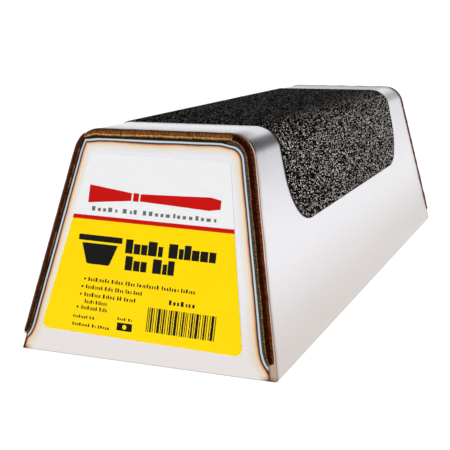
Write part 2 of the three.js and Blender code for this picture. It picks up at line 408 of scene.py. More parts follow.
def heat_tint(name, painted_rim_shade, stops):
    """The oxide colours that welding leaves on steel, as bands at distances from the bead."""
    group, given, result = new_group(
        name,
        [("Distance", "NodeSocketFloat", HEAT_LIMIT), ("Burn And Painted Shade", "NodeSocketFloat", 0.0)],
        [("Color", "NodeSocketColor"), ("Heat", "NodeSocketFloat")],
    )
    wander = maths(group, "SUBTRACT", noise_value(group, 60.0, 2.0), 0.5)
    stretch = maths(group, "MULTIPLY_ADD", wander, HEAT_WANDER, 1.0)
    moved = maths(group, "MULTIPLY", given.outputs["Distance"], stretch)
    fine = maths(group, "MULTIPLY_ADD", noise_value(group, 900.0, 2.0), 0.12, -0.06)
    share = maths(group, "DIVIDE", maths(group, "ADD", moved, fine), HEAT_REACH)
    colour = colour_ramp(group, share, [(d / HEAT_REACH, c) for d, c in stops])
    height = add_node(group, "ShaderNodeSeparateXYZ", {0: object_coordinates(group)}).outputs["Z"]
    # Painted shade: darker and warmer towards the rim, for the floor's dimmer reflection low on the sheet.
    low = add_node(group, "ShaderNodeMapRange", {
        "Value": height, "From Min": PAINTED_RIM_SHADE_TOP * MM, "From Max": 0.0, "To Max": 1.0,
    }, interpolation_type="SMOOTHSTEP").outputs["Result"]
    shaded_colour = mix_colour(group, low, colour, painted_rim_shade, "MULTIPLY")
    # The sheared edge is dark, and the lowest part of each face is darkened with it as a painted contact
    # shadow.
    edge_and_contact_shadow = add_node(group, "ShaderNodeMapRange", {
        "Value": height, "From Min": CUT_EDGE_SHADOW_HEIGHT * MM, "From Max": 0.0, "To Max": 0.8,
    }).outputs["Result"]
    shaded_colour = mix_colour(group, edge_and_contact_shadow, shaded_colour, CUT_EDGE_AND_SHADOW)
    # Burnt metal at the rim and the body's painted bend shade both darken towards this colour.
    burnt_and_shaded = mix_colour(group, given.outputs["Burn And Painted Shade"], shaded_colour, BURNT_AND_PAINTED_SHADE)
    group.links.new(burnt_and_shaded, result.inputs["Color"])
    heat = add_node(group, "ShaderNodeMapRange", {"Value": moved, "From Min": 4.0, "From Max": 0.0})
    group.links.new(heat.outputs["Result"], result.inputs["Heat"])
    return group


def sheet_grain():
    """The fine rolled grain and faint waviness of thin stainless sheet, as a height."""
    group, given, result = new_group(
        "sheet_grain",
        [("Stretch", "NodeSocketFloat", 0.06)],
        [("Height", "NodeSocketFloat"), ("Cloud", "NodeSocketFloat")],
    )
    stretch = add_node(group, "ShaderNodeCombineXYZ", {"X": given.outputs["Stretch"], "Y": 1.0, "Z": 1.0})
    long_way = vector_maths(group, "MULTIPLY", object_coordinates(group), stretch.outputs[0])
    lines = noise_value(group, 2600.0, 3.0, long_way, 0.6)
    waves = noise_value(group, 16.0, 1.0)
    height = maths(group, "MULTIPLY_ADD", waves, 6.0, lines)
    group.links.new(height, result.inputs["Height"])
    group.links.new(noise_value(group, 45.0, 4.0), result.inputs["Cloud"])
    return group


SHEET_GRAIN = sheet_grain()


def steel_material(name, tint, stretch):
    """Satin stainless sheet with weld heat tint: colours read the weld_distance attribute."""
    material, tree, shader = new_material(name)
    shader.inputs["Metallic"].default_value = 1.0
    heat = add_node(tree, "ShaderNodeGroup", node_tree=tint)
    tree.links.new(attribute_value(tree, "weld_distance"), heat.inputs["Distance"])
    tree.links.new(attribute_value(tree, "burn_and_painted_shade"), heat.inputs["Burn And Painted Shade"])
    tree.links.new(heat.outputs["Color"], shader.inputs["Base Color"])
    grain = add_node(tree, "ShaderNodeGroup", node_tree=SHEET_GRAIN)
    grain.inputs["Stretch"].default_value = stretch
    satin = maths(tree, "MULTIPLY_ADD", grain.outputs["Cloud"], 0.08, 0.2)
    rough = maths(tree, "MULTIPLY_ADD", heat.outputs["Heat"], 0.05, satin)
    tree.links.new(rough, shader.inputs["Roughness"])
    roughen(tree, shader, grain.outputs["Height"], 0.12, 0.00002)
    return material


BODY_TINT = heat_tint("body_heat_tint", SIDE_PAINTED_RIM_SHADE, [
    (0.0, linear(120, 84, 60)),
    (0.5, linear(218, 192, 168)),
    (2.3, linear(228, 204, 182)),
    (2.8, linear(176, 146, 130)),
    (3.1, linear(96, 76, 72)),
    (3.4, linear(190, 172, 172)),
    (4.0, linear(222, 216, 220)),
    (6.0, STEEL),
])
BODY_STEEL = steel_material("body_steel_sheet", BODY_TINT, 0.06)

LIP_STEPS = 8
LIP_LEAST_RADIUS = 0.2
FINE_DEPTHS = np.concatenate([np.arange(1, 17) * 0.5, [9.0, 10.5, 12.5, 15.0]])
LONG_COLUMNS = 28


def body_layer(inset, radius, seam_edge, end_depth):
    """One face of the body sheet as a grid: seam, lip, long side, lip and seam along X."""
    turns = np.linspace(0, math.pi / 2, LIP_STEPS + 1)
    near = [(np.full(len(TURN), end_depth), seam_edge)]
    away = [np.zeros(len(TURN))]
    for turn in turns:
        near.append((end_depth + radius * (1 - math.cos(turn)), inset + radius * (1 - math.sin(turn))))
        away.append(np.maximum(seam_edge - inset - radius, 0) + radius * turn)
    for depth in FINE_DEPTHS:
        near.append((end_depth + radius + depth, np.full(len(TURN), inset)))
        away.append(away[len(turns)] + depth)
    columns = [column(-1, depth, pulled) for depth, pulled in near]
    first, last = columns[-1], column(1, *near[-1])
    columns += [first + (last - first) * k / LONG_COLUMNS for k in range(1, LONG_COLUMNS)]
    columns += [column(1, depth, pulled) for depth, pulled in reversed(near)]
    distances = away + [away[-1]] * (LONG_COLUMNS - 1) + away[::-1]
    return np.stack(columns), np.stack(distances)


lip_edge = SEAM_EDGE - SEAM_GAP / 2
outer_radius = np.minimum(LIP_RADIUS, lip_edge)
inner_radius = np.maximum(outer_radius - SHEET, LIP_LEAST_RADIUS)
outer_layer, outer_away = body_layer(0.0, outer_radius, lip_edge, 0.0)
inner_layer, inner_away = body_layer(
    SHEET, inner_radius, np.maximum(lip_edge, SHEET + inner_radius), SHEET_ALONG_X
)
body = new_piece("pan_body", *closed_grid(outer_layer, inner_layer), BODY_STEEL)
body_away = np.concatenate([outer_away.ravel(), inner_away.ravel()])
store_value(body, "weld_distance", body_away)

# A painted shade, standing in for a dark reflection, lies along the -Y bend beside each end,
# strongest at a set turn round the section. It is kept in the same attribute as the burn at the rim.
PAINTED_BEND_SHADE = 0.8
PAINTED_SHADE_TURN = 1.9
PAINTED_SHADE_SPREAD = 0.48
PAINTED_SHADE_REACH = 13.0
body_turn = np.tile(TURN, len(outer_layer) + len(inner_layer))
off_bend = (body_turn - PAINTED_SHADE_TURN) / PAINTED_SHADE_SPREAD
painted_shade_on_bend = PAINTED_BEND_SHADE * np.exp(-(off_bend ** 2) - (body_away / PAINTED_SHADE_REACH) ** 2)
store_value(body, "burn_and_painted_shade", np.maximum(burn_and_painted_shade(piece_points(body)), painted_shade_on_bend))
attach(body, "root")
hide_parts("body_sheet")


# End plates: a flat stainless trapezoid closes each end. It sits inside the body's lip with its
# outer face flush, and carries the wide straw, brown and blue bands that the weld leaves.
PLATE_TINT = heat_tint("plate_heat_tint", END_PAINTED_RIM_SHADE, [
    (0.0, linear(36, 30, 24)),
    (0.16, linear(78, 78, 70)),
    (0.32, linear(196, 208, 208)),
    (0.66, linear(222, 234, 236)),
    (0.92, linear(150, 178, 206)),
    (1.08, linear(44, 48, 80)),
    (1.3, linear(52, 32, 30)),
    (1.5, linear(158, 92, 54)),
    (1.78, linear(228, 164, 110)),
    (2.15, linear(240, 208, 174)),
    (2.8, linear(241, 228, 209)),
    (3.8, linear(240, 234, 224)),
    (5.4, STEEL),
])
PLATE_STEEL = steel_material("plate_steel_sheet", PLATE_TINT, 1.0)
PLATE_RINGS = np.concatenate([np.arange(0, 30) * 0.25, [7.7, 8.3]])


def plate_ring(inset, depth, side):
    """One line of points parallel to the plate's edge, from the +Y rim to the -Y rim."""
    y, z = section(SEAM_INSET + SEAM_GAP / 2 + inset, SEAM_SHIFT)
    return np.stack([side * (end_x(z) - depth), y, z], axis=1)


def plate_face(side, depth, start):
    """Points and quads of one face of a plate: rings round its edge, then straight rows inside."""
    rings = np.stack([plate_ring(inset, depth, side) for inset in PLATE_RINGS])
    count, stations = rings.shape[:2]
    faces = [grid_faces(count, stations, start)]
    inner = rings[-1]
    rows = []
    for row in range(HALF_ROWS):
        share = np.linspace(0, 1, FLAT_ROWS + 1)[:, None]
        rows.append(inner[row] + (inner[stations - 1 - row] - inner[row]) * share)
    block = np.stack(rows[:-1])
    points = np.concatenate([rings.reshape(-1, 3), block[:, 1:-1].reshape(-1, 3)])
    last = start + (count - 1) * stations
    extra = start + count * stations
    inside = FLAT_ROWS - 1

    def vertex(row, place):
        if row == HALF_ROWS - 1:
            return last + row + place
        if place == 0:
            return last + row
        if place == FLAT_ROWS:
            return last + stations - 1 - row
        return extra + row * inside + place - 1

    strips = []
    for row in range(HALF_ROWS - 1):
        for place in range(FLAT_ROWS):
            first, second = vertex(row, place), vertex(row, place + 1)
            strips.append((first, second, vertex(row + 1, place + 1), vertex(row + 1, place)))
    faces.append(np.array(strips))
    bottom = [start + k * stations for k in range(count)]
    bottom += [vertex(0, place) for place in range(1, FLAT_ROWS)]
    bottom += [start + k * stations + stations - 1 for k in range(count - 1, -1, -1)]
    rim = [start + k for k in range(stations)] + bottom[-2:0:-1]
    return points, np.concatenate(faces), rim


def end_plate(name, side):
    """One end plate as a closed piece: its outer face, its inner face and the edge between."""
    outer_points, outer_faces, outer_rim = plate_face(side, 0.0, 0)
    inner_points, inner_faces, inner_rim = plate_face(side, SHEET_ALONG_X, len(outer_points))
    pairs = list(zip(outer_rim, inner_rim))
    edge = [(a, b, d, c) for (a, c), (b, d) in zip(pairs, pairs[1:] + pairs[:1])]
    points = np.concatenate([outer_points, inner_points])
    faces = np.concatenate([outer_faces, inner_faces[:, ::-1], edge])
    return new_piece(name, points, faces, PLATE_STEEL)


ENDS = {"near": -1, "far": 1}
for end, side in ENDS.items():
    plate = end_plate(f"{end}_plate", side)
    spots = piece_points(plate)
    store_value(plate, "weld_distance", weld_distance(spots))
    store_value(plate, "burn_and_painted_shade", burn_and_painted_shade(spots))
    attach(plate, "root")
    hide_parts(f"{end}_end_plate")


# Weld runs: six beads of fused stainless along the seams, left as welded. Each is an oval bar
# of fine crescent ripples, oxidised bronze to near black, with a shiny crater at each tip.
RIPPLE_PITCH = 0.7
RIPPLE_HEIGHT = 0.16
RIPPLE_BOW = 1.6
RIPPLE_WANDER = 2.6
LUMPS_PER_METRE = 150.0
JITTERS_PER_METRE = 700.0
BEAD_RINGS = 560
BEAD_SIDES = 16
BEAD_SEED = 3.0
BEAD_MERGE = 0.001
BEAD_ROUGHNESS = 0.3
CRATER_ROUGHNESS = 0.16


def new_geometry_tree(name, inputs):
    """An empty Geometry Nodes tree, its inputs' identifiers by name, and the inputs' sockets."""
    tree = bpy.data.node_groups.new(name, "GeometryNodeTree")
    identifiers = {}
    for socket, kind, value in inputs:
        item = tree.interface.new_socket(name=socket, in_out="INPUT", socket_type=kind)
        if value is not None:
            item.default_value = value
        identifiers[socket] = item.identifier
    tree.interface.new_socket(name="Geometry", in_out="OUTPUT", socket_type="NodeSocketGeometry")
    return tree, identifiers, tree.nodes.new("NodeGroupInput").outputs


def bead_ripples(tree, given, distance, across, raised):
    """A bead's ripples from 0 to 1, how far its metal stands proud of the oval, and its bulge."""
    seeded = maths(tree, "ADD", maths(tree, "MULTIPLY", distance, LUMPS_PER_METRE), given["Seed"])
    width_noise = add_node(tree, "ShaderNodeTexNoise", {"W": seeded, "Scale": 1.0}, noise_dimensions="1D")
    bulge = maths(tree, "MULTIPLY_ADD", width_noise.outputs["Fac"], 0.2, 0.9)
    quick = maths(tree, "ADD", maths(tree, "MULTIPLY", distance, JITTERS_PER_METRE), given["Seed"])
    wide = maths(tree, "MULTIPLY", across, 1.5)
    unsteady = add_node(tree, "ShaderNodeCombineXYZ", {"X": quick, "Y": wide}).outputs[0]
    jitter = add_node(tree, "ShaderNodeTexNoise", {"Vector": unsteady, "Scale": 1.0, "Detail": 2.0})
    crescent = maths(tree, "MULTIPLY", maths(tree, "MULTIPLY", across, across), RIPPLE_BOW)
    crescent = maths(tree, "ADD", crescent, maths(tree, "MULTIPLY", across, given["Slant"]))
    count = maths(tree, "DIVIDE", distance, given["Ripple Pitch"])
    wandering = maths(tree, "MULTIPLY", jitter.outputs["Fac"], RIPPLE_WANDER)
    phase = maths(tree, "ADD", maths(tree, "ADD", count, crescent), wandering)
    wave = maths(tree, "SINE", maths(tree, "MULTIPLY", phase, 2 * math.pi))
    ripple = maths(tree, "MULTIPLY_ADD", wave, 0.5, 0.5)
    lump_at = add_node(tree, "ShaderNodeCombineXYZ", {"X": seeded, "Y": across, "Z": raised}).outputs[0]
    lumps = add_node(tree, "ShaderNodeTexNoise", {"Vector": lump_at, "Scale": 1.6, "Detail": 3.0})
    relief = maths(tree, "MULTIPLY", maths(tree, "SUBTRACT", ripple, 0.7), given["Ripple Height"])
    lumpy = maths(tree, "SUBTRACT", lumps.outputs["Fac"], 0.5)
    rough = maths(tree, "MULTIPLY", lumpy, given["Ripple Height"])
    proud = maths(tree, "ADD", relief, maths(tree, "MULTIPLY", rough, 2.0))
    return ripple, proud, bulge


def bead_directions(tree, given, tangent):
    """The ways in along the plate and out of it at each point of a bead, turned by its tilt."""
    crossed = vector_maths(tree, "CROSS_PRODUCT", tangent, given["Outward"])
    inner = add_node(tree, "ShaderNodeVectorMath", {0: crossed}, operation="NORMALIZE").outputs[0]
    cosine = maths(tree, "COSINE", given["Tilt"])
    sine = maths(tree, "SINE", given["Tilt"])
    outward = given["Outward"]
    tilted_inner = vector_maths(tree, "ADD", scaled(tree, inner, cosine), scaled(tree, outward, sine))
    backwards = maths(tree, "MULTIPLY", sine, -1.0)
    tilted_out = vector_maths(tree, "ADD", scaled(tree, outward, cosine), scaled(tree, inner, backwards))
    return tilted_inner, tilted_out


def bead_tree():
    """Geometry nodes that turn a curve into a rippled, tapered weld bead."""
    tree, identifiers, given = new_geometry_tree("weld_bead", [
        ("Geometry", "NodeSocketGeometry", None),
        ("Half Width", "NodeSocketFloat", 0.0018),
        ("Half Height", "NodeSocketFloat", 0.001),
        ("Taper", "NodeSocketFloat", 0.0026),
        ("Tilt", "NodeSocketFloat", 0.0),
        ("Outward", "NodeSocketVector", None),
        ("Ripple Pitch", "NodeSocketFloat", 0.0005),
        ("Ripple Height", "NodeSocketFloat", 0.0001),
        ("Slant", "NodeSocketFloat", 0.0),
        ("Turned", "NodeSocketFloat", 0.0),
        ("Soot", "NodeSocketFloat", 0.0),
        ("Seed", "NodeSocketFloat", BEAD_SEED),
        ("Rings", "NodeSocketInt", BEAD_RINGS),
        ("Sides", "NodeSocketInt", BEAD_SIDES),
        ("Material", "NodeSocketMaterial", None),
    ])

    around = maths(tree, "ADD", given["Sides"], 1.0)
    sheet = add_node(tree, "GeometryNodeMeshGrid", {"Vertices X": given["Rings"], "Vertices Y": around})
    position = tree.nodes.new("GeometryNodeInputPosition").outputs[0]
    place = add_node(tree, "ShaderNodeSeparateXYZ", {0: position})
    along = maths(tree, "ADD", place.outputs["X"], 0.5)
    turn = maths(tree, "MULTIPLY", maths(tree, "ADD", place.outputs["Y"], 0.5), 2 * math.pi)
    across = maths(tree, "COSINE", turn)
    raised = maths(tree, "SINE", turn)
    length = add_node(tree, "GeometryNodeCurveLength", {0: given["Geometry"]}).outputs[0]
    distance = maths(tree, "MULTIPLY", along, length)
    to_tip = maths(tree, "MINIMUM", distance, maths(tree, "SUBTRACT", length, distance))
    share = add_node(tree, "ShaderNodeMapRange", {"Value": to_tip, "From Max": given["Taper"]})
    short = maths(tree, "SUBTRACT", 1.0, share.outputs["Result"])
    fullness = maths(tree, "SQRT", maths(tree, "SUBTRACT", 1.0, maths(tree, "MULTIPLY", short, short)))

    ripple, proud, bulge = bead_ripples(tree, given, distance, across, raised)
    half_width = maths(tree, "MULTIPLY", maths(tree, "MULTIPLY", given["Half Width"], bulge), fullness)
    half_height = maths(tree, "MULTIPLY", maths(tree, "ADD", given["Half Height"], proud), fullness)
    radius = tree.nodes.new("GeometryNodeInputRadius").outputs[0]
    sample = add_node(
        tree, "GeometryNodeSampleCurve",
        {"Curves": given["Geometry"], "Factor": along, "Value": radius}, mode="FACTOR",
    )
    half_width = maths(tree, "MULTIPLY", half_width, sample.outputs["Value"])
    tilted_inner, tilted_out = bead_directions(tree, given, sample.outputs["Tangent"])
    sideways = scaled(tree, tilted_inner, maths(tree, "MULTIPLY", half_width, across))
    upwards = scaled(tree, tilted_out, maths(tree, "MULTIPLY", half_height, raised))
    offset = vector_maths(tree, "ADD", sideways, upwards)
    target = vector_maths(tree, "ADD", sample.outputs["Position"], offset)

    geometry = sheet.outputs["Mesh"]
    lateral = maths(tree, "SUBTRACT", across, given["Turned"])
    for kind, inputs in [
        ("GeometryNodeStoreNamedAttribute", {"Name": "lateral", "Value": lateral}),
        ("GeometryNodeStoreNamedAttribute", {"Name": "ripple", "Value": ripple}),
        ("GeometryNodeStoreNamedAttribute", {"Name": "tip", "Value": fullness}),
        ("GeometryNodeStoreNamedAttribute", {"Name": "soot", "Value": given["Soot"]}),
        ("GeometryNodeSetPosition", {"Position": target}),
        ("GeometryNodeMergeByDistance", {"Distance": BEAD_MERGE * MM}),
        ("GeometryNodeSetShadeSmooth", {}),
        ("GeometryNodeRealizeInstances", {}),
        ("GeometryNodeSetMaterial", {"Material": given["Material"]}),
    ]:
        geometry = add_node(tree, kind, {"Geometry": geometry, **inputs}).outputs[0]
    add_node(tree, "NodeGroupOutput", {"Geometry": geometry})
    return tree, identifiers


def evaluated_piece(source, name):
    """The source object's modifier result as a plain mesh object; the source is removed."""
    depsgraph = bpy.context.evaluated_depsgraph_get()
    mesh = bpy.data.meshes.new_from_object(source.evaluated_get(depsgraph), depsgraph=depsgraph)
    mesh.name = name
    bpy.data.objects.remove(source)
    used = [material for material in mesh.materials if material]
    mesh.materials.clear()
    mesh.materials.append(used[0])
    mesh.polygons.foreach_set("material_index", [0] * len(mesh.polygons))
    return new_object(name, mesh)


def add_modifier(source, tree, identifiers, values):
    """Adds a Geometry Nodes modifier and sets its inputs by their sockets' identifiers."""
    modifier = source.modifiers.new(tree.name, "NODES")
    modifier.node_group = tree
    for name, value in values.items():
        modifier[identifiers[name]] = value


def bead_material():
    """As-welded metal: bronze on the crown, a painted highlight streak inside it, dark olive at its
    foot. The tops of its ripples are painted lighter, and each tip is pale, partly a painted glint.
    """
    material, tree, shader = new_material("weld_bead_metal")
    lateral = attribute_value(tree, "lateral")
    ripple = attribute_value(tree, "ripple")
    soot = attribute_value(tree, "soot")
    tip = attribute_value(tree, "tip")
    wander = maths(tree, "MULTIPLY_ADD", noise_value(tree, 160.0, 4.0), 0.3, -0.15)
    place = maths(tree, "ADD", maths(tree, "MULTIPLY_ADD", lateral, 0.5, 0.5), wander)
    # Both ramps carry a pale streak near the inner edge: a painted highlight, not a colour of the metal.
    bronze = colour_ramp(tree, place, [
        (0.0, linear(40, 22, 16)),
        (0.14, linear(92, 56, 36)),
        (0.4, linear(140, 88, 48)),
        (0.58, linear(128, 72, 30)),
        (0.68, linear(214, 164, 96)),
        (0.77, linear(156, 106, 54)),
        (0.85, linear(44, 30, 16)),
        (1.0, linear(36, 32, 24)),
    ])
    scorched_with_painted_streak = colour_ramp(tree, place, [
        (0.0, linear(70, 44, 34)),
        (0.09, linear(100, 50, 24)),
        (0.2, linear(78, 32, 10)),
        (0.32, linear(30, 8, 3)),
        (0.42, linear(54, 20, 8)),
        (0.52, linear(20, 5, 2)),
        (0.62, linear(60, 32, 18)),
        (0.69, linear(142, 106, 74)),
        (0.76, linear(58, 50, 38)),
        (0.9, linear(74, 72, 62)),
        (1.0, linear(48, 44, 36)),
    ])
    metal = mix_colour(tree, soot, bronze, scorched_with_painted_streak)
    # Each tip's crater turns pale: clean metal there, brightened further as a painted glint.
    crater_metal_and_glint = add_node(tree, "ShaderNodeMapRange", {"Value": tip, "From Min": 0.85, "From Max": 0.5})
    metal = mix_colour(tree, crater_metal_and_glint.outputs["Result"], metal, linear(232, 208, 164))
    # Painted highlight and shade: ripple tops are lightened and the hollows darkened, more on sooty beads.
    crest = maths(tree, "POWER", ripple, 1.6)
    swing = maths(tree, "MULTIPLY_ADD", soot, 0.5, 1.05)
    shade = maths(tree, "MULTIPLY_ADD", crest, swing, 0.45)
    patch = maths(tree, "MULTIPLY_ADD", noise_value(tree, 700.0, 4.0, roughness=0.75), 3.4, -0.7)
    patch = maths(tree, "MAXIMUM", patch, 0.2)
    toned = scaled(tree, metal, maths(tree, "MULTIPLY", shade, patch))
    tree.links.new(toned, shader.inputs["Base Color"])
    shader.inputs["Metallic"].default_value = 1.0
    grain = noise_value(tree, 1500.0, 2.0)
    shiny = add_node(tree, "ShaderNodeMapRange", {
        "Value": tip, "From Max": 0.9, "To Min": CRATER_ROUGHNESS, "To Max": BEAD_ROUGHNESS,
    }).outputs["Result"]
    tree.links.new(maths(tree, "MULTIPLY_ADD", grain, 0.16, shiny), shader.inputs["Roughness"])
    roughen(tree, shader, grain, 0.4, 0.00006)
    return material


BEAD_METAL = bead_material()
BEAD_TREE, BEAD_SOCKETS = bead_tree()


def weld_bead(end, run):
    """One bead, made along its line on an end."""
    side = ENDS[end]
    bead = BEADS[run]
    line, widths = bead_line(side, run)
    line, widths = line[::-side], widths[::-side]
    curve = bpy.data.curves.new(f"{end}_{run}_path", "CURVE")
    curve.dimensions = "3D"
    spline = curve.splines.new("POLY")
    spline.points.add(len(line) - 1)
    for point, place, width in zip(spline.points, line * MM, widths):
        point.co = (*place, 1)
        point.radius = width / bead["half_width"]
    source = new_object(curve.name, curve)
    add_modifier(source, BEAD_TREE, BEAD_SOCKETS, {
        "Half Width": bead["half_width"] * MM,
        "Half Height": bead["half_height"] * MM,
        "Taper": BEAD_TAPER * MM,
        "Tilt": math.radians(bead["tilt"]),
        "Outward": (side * math.cos(END_ANGLE), 0.0, math.sin(END_ANGLE)),
        "Ripple Pitch": RIPPLE_PITCH * MM,
        "Ripple Height": RIPPLE_HEIGHT * MM,
        "Slant": bead["slant"],
        "Turned": bead["turned"],
        "Soot": bead["soot"],
        "Seed": BEAD_SEED + 7 * side + list(BEADS).index(run),
        "Rings": BEAD_RINGS,
        "Sides": BEAD_SIDES,
        "Material": BEAD_METAL,
    })
    return evaluated_piece(source, f"{end}_bead_{run}")


for end in ENDS:
    for run in BEADS:
        piece = weld_bead(end, run)
        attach(piece, "root")
        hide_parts(f"{end}_weld_{run}")


# Grip film: the thin black backing of the anti-slip pad, stuck over the bottom and wrapped down
# both sides. Its cut edge shows as a fine black line round the grit.
PAD_START = -102
PAD_END = 94
PAD_HALF_WIDTH = 73.5
PAD_CORNER = 22
FILM_BASE = 0.06
FILM_TOP = 0.26
FILM_STEP = 2.0
CORNER_ROWS = 26


def wrap(x, distance, offset):
    """Points above the skin at distances over the sheet: negative towards +Y, positive to -Y."""
    side = np.where(distance < 0, 1.0, -1.0)
    past = np.abs(distance) - FLAT_HALF
    turn = np.clip(past / BEND_RADIUS, 0, BEND_TURN)
    down = np.maximum(past - BEND_RADIUS * BEND_TURN, 0)
    reach = BEND_RADIUS + offset
    y = FLAT_HALF + np.minimum(past, 0) + reach * np.sin(turn) + down * math.sin(SIDE_ANGLE)
    z = BEND_CENTRE + reach * np.cos(turn) - down * math.cos(SIDE_ANGLE)
    return np.stack([x, side * y, z], axis=-1)


def pad_rows(margin, step):
    """Distances over the sheet and the trim of each row's ends, for a pad with round corners."""
    corner = PAD_CORNER - margin
    half = PAD_HALF_WIDTH - margin
    turns = np.linspace(math.pi / 2, 0, CORNER_ROWS + 1)
    corner_rows = half - corner * (1 - np.sin(turns))
    trims = corner * (1 - np.cos(turns))
    straight = np.linspace(half - corner, 0, int((half - corner) / step) + 1)[1:]
    distances = np.concatenate([corner_rows, straight])
    trims = np.concatenate([trims, np.zeros(len(straight))])
    return np.concatenate([-distances, distances[-2::-1]]), np.concatenate([trims, trims[-2::-1]])


def pad_grid(margin, step):
    """(x, distance) of a grid that fills the pad's outline, pulled in by margin."""
    distances, trims = pad_rows(margin, step)
    share = np.linspace(0, 1, int((PAD_END - PAD_START) / step) + 1)
    start = PAD_START + margin + trims[:, None]
    stop = PAD_END - margin - trims[:, None]
    x = start + (stop - start) * share[None, :]
    return x, np.repeat(distances[:, None], len(share), axis=1)


def simple_material(name, base, roughness, specular):
    """A material with one colour, roughness and specular level, to build on."""
    material, tree, shader = new_material(name)
    shader.inputs["Base Color"].default_value = base
    shader.inputs["Roughness"].default_value = roughness
    shader.inputs["Specular IOR Level"].default_value = specular
    return material, tree, shader


def film_material():
    """Black vinyl, a little scuffed."""
    material, tree, shader = simple_material("grip_backing_vinyl", linear(14, 13, 12), 0.5, 0.3)
    scuff = noise_value(tree, 700.0, 3.0)
    shades = [(0.3, linear(9, 8, 8)), (0.75, linear(26, 24, 22))]
    tree.links.new(colour_ramp(tree, scuff, shades), shader.inputs["Base Color"])
    return material


film_x, film_distance = pad_grid(0.0, FILM_STEP)
film = new_piece(
    "grip_backing",
    *closed_grid(wrap(film_x, film_distance, FILM_TOP), wrap(film_x, film_distance, FILM_BASE)),
    film_material(),
)
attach(film, "root")
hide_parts("grip_film")


# Grip grit: mineral grains bonded to the film by a rough black binder coat. The coat is one
# uneven sheet; the grains are scattered over it in three strips, each its own mesh.
COAT_MARGIN = 0.3
COAT_BASE = 0.2
COAT_TOP = 0.32
COAT_RELIEF = 0.1
COAT_STEP = 1.0
COAT_LUMPS = 0.9
COAT_SEED = 4.0
GRAIN_TOP = 0.7
GRAIN_DENSITY = 2.5
GRAIN_SMALL = 0.16
GRAIN_LARGE = 0.37
GRAIN_SEED = 11


def grit_tone(name, stops, lively, roughness):
    """Matt mineral colours over a mix of each grain's own tone and a fine speckle."""
    material, tree, shader = simple_material(name, stops[0][1], roughness, 0.0)
    own_share = maths(tree, "MULTIPLY", attribute_value(tree, "tone"), lively)
    speck = noise_value(tree, 2400.0, 3.0, roughness=0.7)
    mixed = maths(tree, "ADD", own_share, maths(tree, "MULTIPLY", speck, 1 - lively))
    tree.links.new(colour_ramp(tree, mixed, stops), shader.inputs["Base Color"])
    tree.links.new(maths(tree, "MULTIPLY_ADD", mixed, -0.25, roughness + 0.1), shader.inputs["Roughness"])
    roughen(tree, shader, speck, 0.6, 0.00012)
    return material


def coat_height(x, distance):
    """The binder's uneven height over the skin."""
    lift = np.empty(x.shape)
    for index in np.ndindex(x.shape):
        place = Vector((x[index] * COAT_LUMPS, distance[index] * COAT_LUMPS, COAT_SEED))
        lift[index] = noise.noise(place)
    return COAT_TOP + COAT_RELIEF * lift


coat_x, coat_distance = pad_grid(COAT_MARGIN, COAT_STEP)
coat_face = wrap(coat_x, coat_distance, coat_height(coat_x, coat_distance))
coat_back = wrap(coat_x, coat_distance, COAT_BASE)
coat = new_piece(
    "grip_coat", *closed_grid(coat_face, coat_back),
    grit_tone("binder_coat", [(0.4, linear(7, 5, 4)), (0.7, linear(26, 21, 17))], 0.0, 0.8),
    sharp_degrees=80,
)
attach(coat, "root")
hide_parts("grip_grit")


def grain_tree():
    """Geometry nodes that scatter crushed grains over a surface."""
    tree, identifiers, given = new_geometry_tree("grit_grains", [
        ("Geometry", "NodeSocketGeometry", None),
        ("Density", "NodeSocketFloat", 1e6),
        ("Smallest", "NodeSocketFloat", 0.0001),
        ("Largest", "NodeSocketFloat", 0.0003),
        ("Seed", "NodeSocketInt", GRAIN_SEED),
        ("Material", "NodeSocketMaterial", None),
    ])

    def random_value(kind, seed_shift, low, high):
        """A seeded Random Value; low and high are values or sockets."""
        seed = maths(tree, "ADD", given["Seed"], float(seed_shift))
        node = add_node(tree, "FunctionNodeRandomValue", data_type=kind)
        picked = [s for s in node.inputs if s.enabled and s.name in ("Min", "Max")]
        for socket, value in zip(picked, (low, high)):
            if isinstance(value, bpy.types.NodeSocket):
                tree.links.new(value, socket)
            else:
                socket.default_value = value
        tree.links.new(seed, node.inputs["Seed"])
        return [s for s in node.outputs if s.enabled][0]

    inputs = {"Mesh": given["Geometry"], "Density": given["Density"], "Seed": given["Seed"]}
    points = add_node(tree, "GeometryNodeDistributePointsOnFaces", inputs)
    grain = add_node(tree, "GeometryNodeMeshUVSphere", {"Segments": 4, "Rings": 2, "Radius": 1.0})
    spin = random_value("FLOAT_VECTOR", 1, (0.0, 0.0, 0.0), (6.28, 6.28, 6.28))
    turned = add_node(tree, "FunctionNodeEulerToRotation", {"Euler": spin})
    size = random_value("FLOAT", 2, given["Smallest"], given["Largest"])
    shape = random_value("FLOAT_VECTOR", 3, (0.75, 0.75, 0.75), (1.25, 1.25, 1.25))
    scale = scaled(tree, shape, size)
    sunk = maths(tree, "MULTIPLY", maths(tree, "SUBTRACT", given["Largest"], size), 0.8)
    lift = scaled(tree, points.outputs["Normal"], sunk)
    seated = add_node(tree, "GeometryNodeSetPosition", {"Geometry": points.outputs["Points"], "Offset": lift})
    placed = add_node(tree, "GeometryNodeInstanceOnPoints", {
        "Points": seated.outputs[0],
        "Instance": grain.outputs["Mesh"],
        "Rotation": turned.outputs[0],
        "Scale": scale,
    })
    toned = add_node(
        tree, "GeometryNodeStoreNamedAttribute",
        {"Geometry": placed.outputs[0], "Name": "tone", "Value": random_value("FLOAT", 4, 0.0, 1.0)},
        domain="INSTANCE",
    )
    plain = add_node(tree, "GeometryNodeRealizeInstances", {"Geometry": toned.outputs[0]})
    finished = add_node(
        tree, "GeometryNodeSetMaterial", {"Geometry": plain.outputs[0], "Material": given["Material"]}
    )
    add_node(tree, "NodeGroupOutput", {"Geometry": finished.outputs[0]})
    return tree, identifiers


